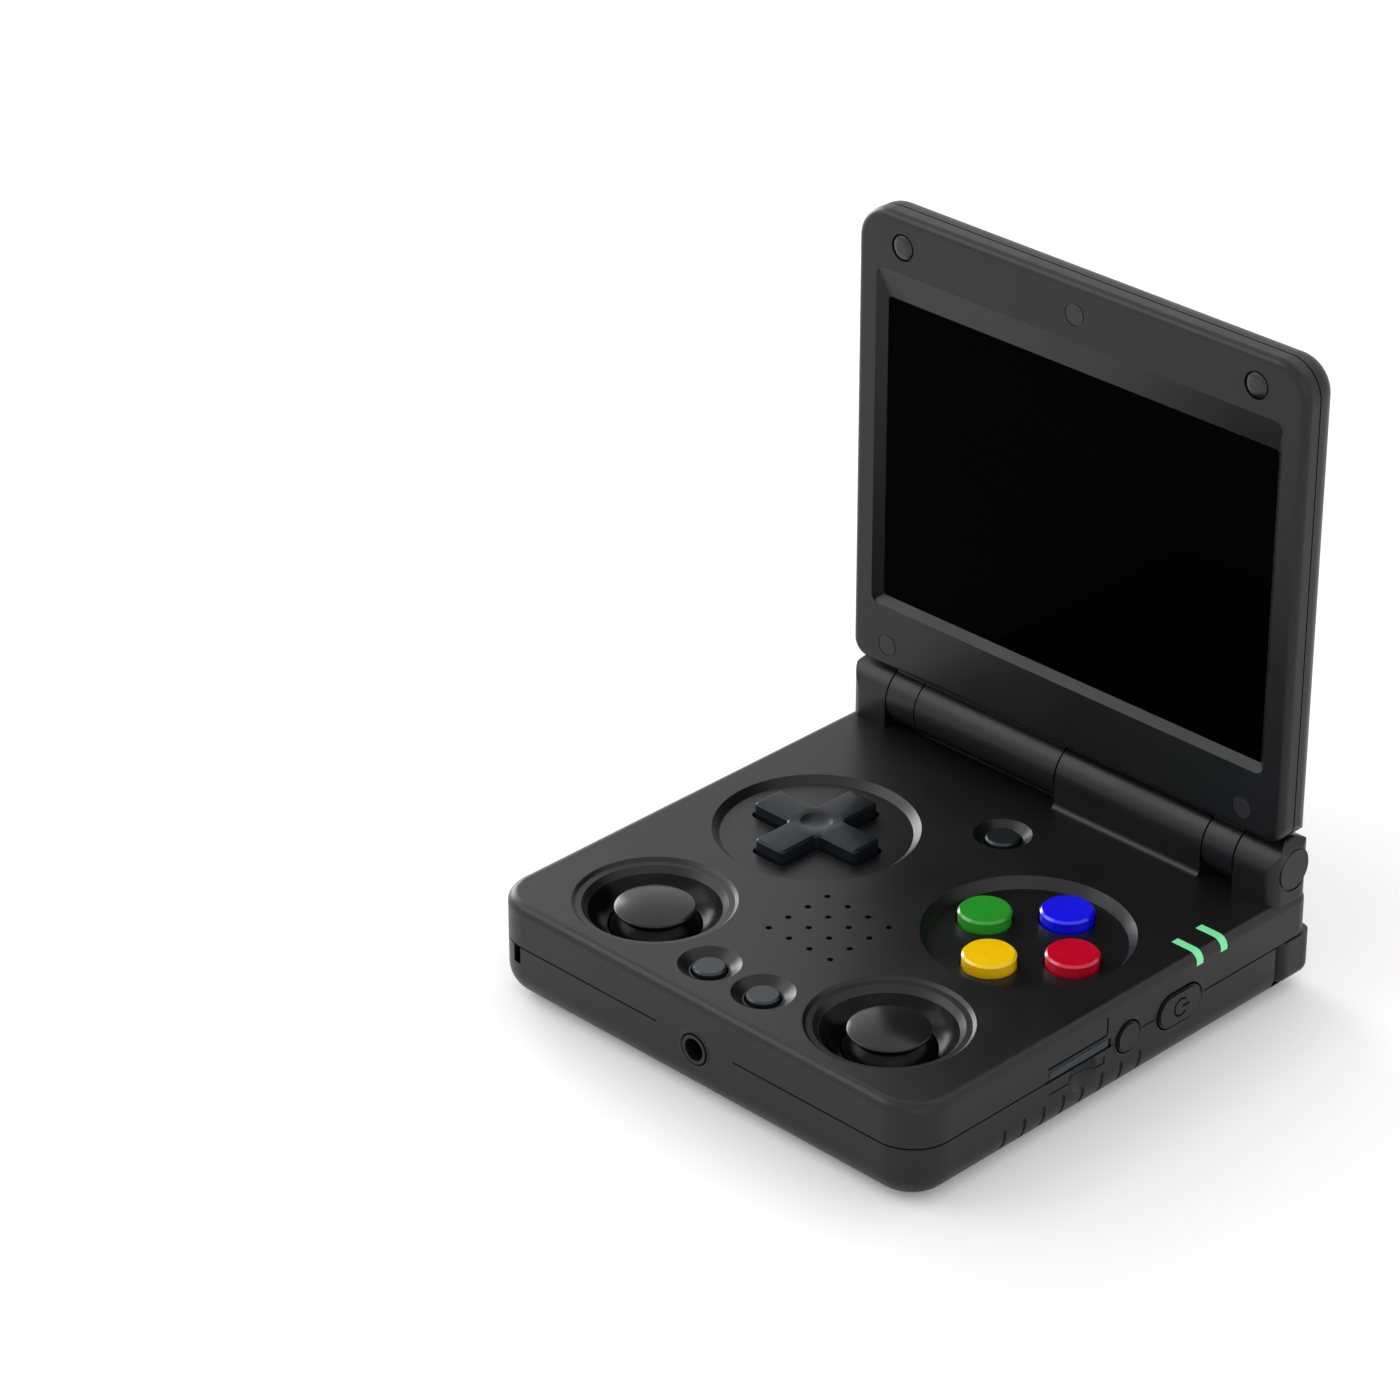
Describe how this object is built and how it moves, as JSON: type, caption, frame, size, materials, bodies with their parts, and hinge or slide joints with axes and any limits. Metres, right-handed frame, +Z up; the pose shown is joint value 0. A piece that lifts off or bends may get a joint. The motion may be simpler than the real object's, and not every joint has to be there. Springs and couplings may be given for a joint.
{
  "type": "clamshell handheld game console",
  "caption": "Clamshell handheld game console with a hinged screen lid, two thumb sticks, a direction pad, four coloured action buttons and shoulder buttons.",
  "frame": {"origin": "middle of the bounding box at the level of the rubber feet", "axes": "+X to the player's right, +Y from the front edge towards the hinge, +Z up; the lid stands open at a right angle"},
  "size_m": [0.0898, 0.0903, 0.1071],
  "materials": {
    "shell_black": "fine matt texture",
    "control_black": "matt",
    "slate": "satin",
    "stick_satin": "satin",
    "green": "gloss",
    "blue": "gloss",
    "yellow": "gloss",
    "red": "gloss",
    "membrane": "matt",
    "board": "satin",
    "battery_wrap": "matt wrap",
    "module_plastic": "matt",
    "steel": "satin",
    "nickel": "satin",
    "light": "clear satin",
    "rubber": "matt",
    "glass_black": "gloss",
    "panel": "matt"
  },
  "bodies": {
    "base": {"base_top_shell": "shell_black", "base_bottom_shell": "shell_black", "battery_cover": "shell_black", "battery": "battery_wrap", "main_board": "board", "speaker": "module_plastic", "pad_seat": "module_plastic", "pad_membrane": "membrane", "action_membrane": "membrane", "tact_switches": "steel", "stick_module_left": "module_plastic", "stick_module_right": "module_plastic", "headphone_jack": "nickel", "usb_port": "steel", "video_port": "steel", "card_socket": "steel", "light_strips": "light", "rubber_feet": "rubber", "base_screws": "steel", "hinge_caps": "shell_black", "hinge_tube": "steel", "hinge_clutch": "steel"},
    "lid": {"lid_front_shell": "shell_black", "lid_back_cover": "shell_black", "display_glass": "glass_black", "display_panel": "panel", "lid_bumpers": "rubber", "lid_plugs": "shell_black", "lid_screws": "steel", "lid_magnet": "steel", "hinge_pin_left": "steel", "hinge_pin_right": "steel"},
    "pad_spider": {"pad_spider": "steel"},
    "direction_pad": {"direction_pad": "slate"},
    "yoke_left": {"stick_yoke_left": "steel"},
    "yoke_right": {"stick_yoke_right": "steel"},
    "stick_left": {"stick_left": "stick_satin"},
    "stick_right": {"stick_right": "stick_satin"},
    "action_button_left": {"action_button_left": "green"},
    "action_button_rear": {"action_button_rear": "blue"},
    "action_button_front": {"action_button_front": "yellow"},
    "action_button_right": {"action_button_right": "red"},
    "small_button_left": {"small_button_left": "slate"},
    "small_button_right": {"small_button_right": "slate"},
    "function_button": {"function_button": "slate"},
    "power_button": {"power_button": "control_black"},
    "side_button": {"side_button": "control_black"},
    "volume_rocker": {"volume_rocker": "control_black"},
    "shoulder_outer_left": {"shoulder_outer_left": "control_black"},
    "shoulder_outer_right": {"shoulder_outer_right": "control_black"},
    "shoulder_inner_left": {"shoulder_inner_left": "control_black"},
    "shoulder_inner_right": {"shoulder_inner_right": "control_black"}
  },
  "joints": [
    {"name": "lid_hinge", "type": "hinge", "parent": "base", "child": "lid", "pos_m": [0, 0.0399, 0.02205], "axis": [-1, 0, 0], "range_deg": [-90, 75]},
    {"name": "stick_left_fore_aft", "type": "hinge", "parent": "base", "child": "yoke_left", "pos_m": [-0.02447, -0.02918, 0.0092], "axis": [1, 0, 0], "range_deg": [-11, 11], "stiffness_Nm_per_rad": 0.02},
    {"name": "stick_left_sideways", "type": "hinge", "parent": "yoke_left", "child": "stick_left", "pos_m": [-0.02447, -0.02918, 0.0092], "axis": [0, 1, 0], "range_deg": [-11, 11], "stiffness_Nm_per_rad": 0.02},
    {"name": "stick_right_fore_aft", "type": "hinge", "parent": "base", "child": "yoke_right", "pos_m": [0.02447, -0.02918, 0.0092], "axis": [1, 0, 0], "range_deg": [-11, 11], "stiffness_Nm_per_rad": 0.02},
    {"name": "stick_right_sideways", "type": "hinge", "parent": "yoke_right", "child": "stick_right", "pos_m": [0.02447, -0.02918, 0.0092], "axis": [0, 1, 0], "range_deg": [-11, 11], "stiffness_Nm_per_rad": 0.02},
    {"name": "pad_fore_aft", "type": "hinge", "parent": "base", "child": "pad_spider", "pos_m": [-0.02218, 0.00401, 0.0116], "axis": [1, 0, 0], "range_deg": [-2, 2], "stiffness_Nm_per_rad": 0.2},
    {"name": "pad_sideways", "type": "hinge", "parent": "pad_spider", "child": "direction_pad", "pos_m": [-0.02218, 0.00401, 0.0116], "axis": [0, 1, 0], "range_deg": [-2, 2], "stiffness_Nm_per_rad": 0.2},
    {"name": "press_action_left", "type": "slide", "parent": "base", "child": "action_button_left", "axis": [0, 0, -1], "range_m": [0, 0.0008], "stiffness_N_per_m": 900},
    {"name": "press_action_rear", "type": "slide", "parent": "base", "child": "action_button_rear", "axis": [0, 0, -1], "range_m": [0, 0.0008], "stiffness_N_per_m": 900},
    {"name": "press_action_front", "type": "slide", "parent": "base", "child": "action_button_front", "axis": [0, 0, -1], "range_m": [0, 0.0008], "stiffness_N_per_m": 900},
    {"name": "press_action_right", "type": "slide", "parent": "base", "child": "action_button_right", "axis": [0, 0, -1], "range_m": [0, 0.0008], "stiffness_N_per_m": 900},
    {"name": "press_small_button_left", "type": "slide", "parent": "base", "child": "small_button_left", "axis": [0, 0, -1], "range_m": [0, 0.0005], "stiffness_N_per_m": 1500},
    {"name": "press_small_button_right", "type": "slide", "parent": "base", "child": "small_button_right", "axis": [0, 0, -1], "range_m": [0, 0.0005], "stiffness_N_per_m": 1500},
    {"name": "press_function_button", "type": "slide", "parent": "base", "child": "function_button", "axis": [0, 0, -1], "range_m": [0, 0.0005], "stiffness_N_per_m": 1500},
    {"name": "press_power_button", "type": "slide", "parent": "base", "child": "power_button", "axis": [-1, 0, 0], "range_m": [0, 0.0003], "stiffness_N_per_m": 3000},
    {"name": "press_side_button", "type": "slide", "parent": "base", "child": "side_button", "axis": [-1, 0, 0], "range_m": [0, 0.0003], "stiffness_N_per_m": 3000},
    {"name": "rock_volume", "type": "hinge", "parent": "base", "child": "volume_rocker", "pos_m": [-0.0437, 0.01315, 0.0098], "axis": [0, 0, 1], "range_deg": [-2.5, 2.5], "stiffness_Nm_per_rad": 0.15},
    {"name": "press_shoulder_outer_left", "type": "slide", "parent": "base", "child": "shoulder_outer_left", "axis": [0, -1, 0], "range_m": [0, 0.0008], "stiffness_N_per_m": 800},
    {"name": "press_shoulder_outer_right", "type": "slide", "parent": "base", "child": "shoulder_outer_right", "axis": [0, -1, 0], "range_m": [0, 0.0008], "stiffness_N_per_m": 800},
    {"name": "press_shoulder_inner_left", "type": "slide", "parent": "base", "child": "shoulder_inner_left", "axis": [0, -1, 0], "range_m": [0, 0.0008], "stiffness_N_per_m": 800},
    {"name": "press_shoulder_inner_right", "type": "slide", "parent": "base", "child": "shoulder_inner_right", "axis": [0, -1, 0], "range_m": [0, 0.0008], "stiffness_N_per_m": 800}
  ]
}
